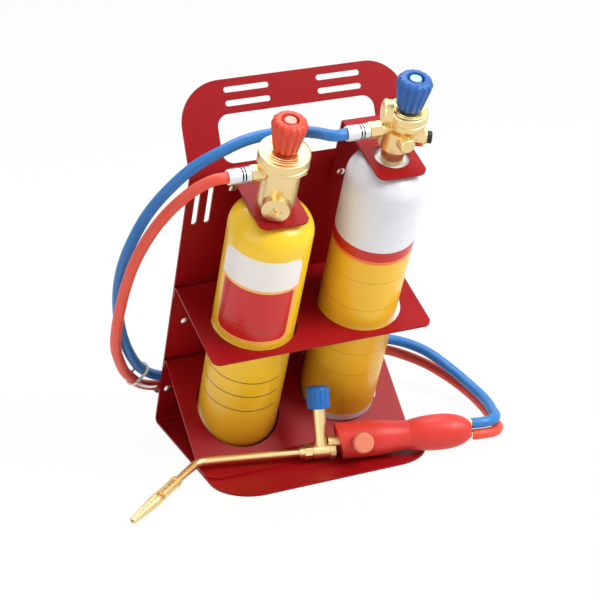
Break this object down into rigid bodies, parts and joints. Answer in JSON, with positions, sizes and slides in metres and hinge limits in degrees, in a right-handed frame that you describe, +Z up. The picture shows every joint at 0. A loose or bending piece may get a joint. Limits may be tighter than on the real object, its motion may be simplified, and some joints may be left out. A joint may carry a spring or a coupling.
{
  "type": "portable oxy-fuel torch kit on a hand-carried rack",
  "caption": "Hand-carried steel rack holding an oxygen and a fuel gas cylinder with regulators, and a hand torch on blue and orange hoses.",
  "frame": {"origin": "centre of the base plate's underside, on the floor", "axes": "+Z up, front towards -Y, where the cylinders and the torch are; the panel leans forward from the back edge, and the carrier is symmetric about X = 0"},
  "size_m": [0.391, 0.2453, 0.3868],
  "materials": {
    "red_paint": "gloss",
    "yellow_paint": "gloss",
    "brass": "polished",
    "steel": "satin",
    "aluminium": "satin",
    "rubber": "matte",
    "black_plastic": "matte",
    "pale_plastic": "satin",
    "red_plastic": "satin",
    "blue_plastic": "satin",
    "blue_hose": "satin",
    "orange_hose": "satin"
  },
  "bodies": {
    "carrier": {"carrier_sheet": "red_paint", "bottle_shelf": "red_paint", "bottle_cradle": "red_paint", "gas_neck_bracket": "red_paint", "oxygen_neck_bracket": "red_paint", "panel_rivets": "red_paint", "hose_clips": "black_plastic", "clip_screws": "red_paint", "gas_cylinder": "yellow_paint", "gas_cylinder_valve": "brass", "gas_regulator_body": "brass", "gas_regulator_bonnet": "brass", "gas_diaphragm": "rubber", "gas_spring": "steel", "gas_poppet": "steel", "gas_side_plug": "brass", "gas_outlet_nut": "brass", "gas_hose_ferrule": "aluminium", "oxygen_cylinder": "yellow_paint", "oxygen_cylinder_foot": "pale_plastic", "oxygen_cylinder_valve": "brass", "oxygen_regulator_body": "brass", "oxygen_regulator_bonnet": "brass", "oxygen_diaphragm": "rubber", "oxygen_spring": "steel", "oxygen_poppet": "steel", "oxygen_side_cap": "brass", "oxygen_relief_valve": "brass", "oxygen_relief_cap": "black_plastic", "oxygen_front_plug": "brass", "oxygen_outlet_nut": "brass", "oxygen_hose_ferrule": "aluminium", "oxygen_hose": "blue_hose", "gas_hose": "orange_hose", "hose_tie": "pale_plastic"},
    "gas_screw": {"gas_adjusting_screw": "brass"},
    "gas_knob_turn": {"gas_knob": "red_plastic", "gas_knob_cap": "pale_plastic"},
    "oxygen_screw": {"oxygen_adjusting_screw": "brass"},
    "oxygen_knob_turn": {"oxygen_knob": "blue_plastic", "oxygen_knob_cap": "pale_plastic"},
    "torch": {"torch_handle_front": "red_plastic", "torch_handle_rear": "red_plastic", "torch_valve_block": "brass", "torch_oxygen_stem": "brass", "torch_lance_nut": "brass", "torch_oxygen_nipple": "brass", "torch_gas_nipple": "brass"},
    "torch_oxygen_valve": {"torch_oxygen_spindle": "brass", "torch_oxygen_knob": "blue_plastic"},
    "torch_gas_valve": {"torch_gas_spindle": "brass", "torch_gas_knob": "red_plastic"},
    "lance": {"torch_lance_tube": "brass", "torch_tip_socket": "brass", "torch_tip_nozzle": "brass"}
  },
  "joints": [
    {"name": "gas_screw_travel", "type": "slide", "parent": "carrier", "child": "gas_screw", "axis": [0, 0.4067, -0.9135], "range_m": [0, 0.00187]},
    {"name": "gas_pressure", "type": "hinge", "parent": "gas_screw", "child": "gas_knob_turn", "pos_m": [-0.052, -0.12077, 0.34223], "axis": [0, 0.4067, -0.9135], "range_deg": [0, 540]},
    {"name": "oxygen_screw_travel", "type": "slide", "parent": "carrier", "child": "oxygen_screw", "axis": [0, 0.4067, -0.9135], "range_m": [0, 0.00187]},
    {"name": "oxygen_pressure", "type": "hinge", "parent": "oxygen_screw", "child": "oxygen_knob_turn", "pos_m": [0.0575, -0.1289, 0.36051], "axis": [0, 0.4067, -0.9135], "range_deg": [0, 540]},
    {"name": "torch_lift", "type": "slide", "parent": "carrier", "child": "torch", "axis": [-0.1548, -0.6118, 0.7757], "range_m": [0, 0.05]},
    {"name": "torch_oxygen_tap", "type": "hinge", "parent": "torch", "child": "torch_oxygen_valve", "pos_m": [0.00282, -0.05536, 0.01995], "axis": [0.0717, 0.2834, 0.9563], "range_deg": [0, 720]},
    {"name": "torch_gas_tap", "type": "hinge", "parent": "torch", "child": "torch_gas_valve", "pos_m": [0.03781, -0.06422, 0.01995], "axis": [-0.2346, -0.9271, 0.2924], "range_deg": [0, 720]},
    {"name": "lance_swivel", "type": "hinge", "parent": "torch", "child": "lance", "pos_m": [-0.02332, -0.05101, 0.01278], "axis": [-0.9694, 0.2453, 0], "range_deg": [0, 180]}
  ],
  "couplings": [
    {"joint": "gas_pressure", "follows": "gas_screw_travel", "rad_per_m": 5026.5},
    {"joint": "oxygen_pressure", "follows": "oxygen_screw_travel", "rad_per_m": 5026.5}
  ]
}
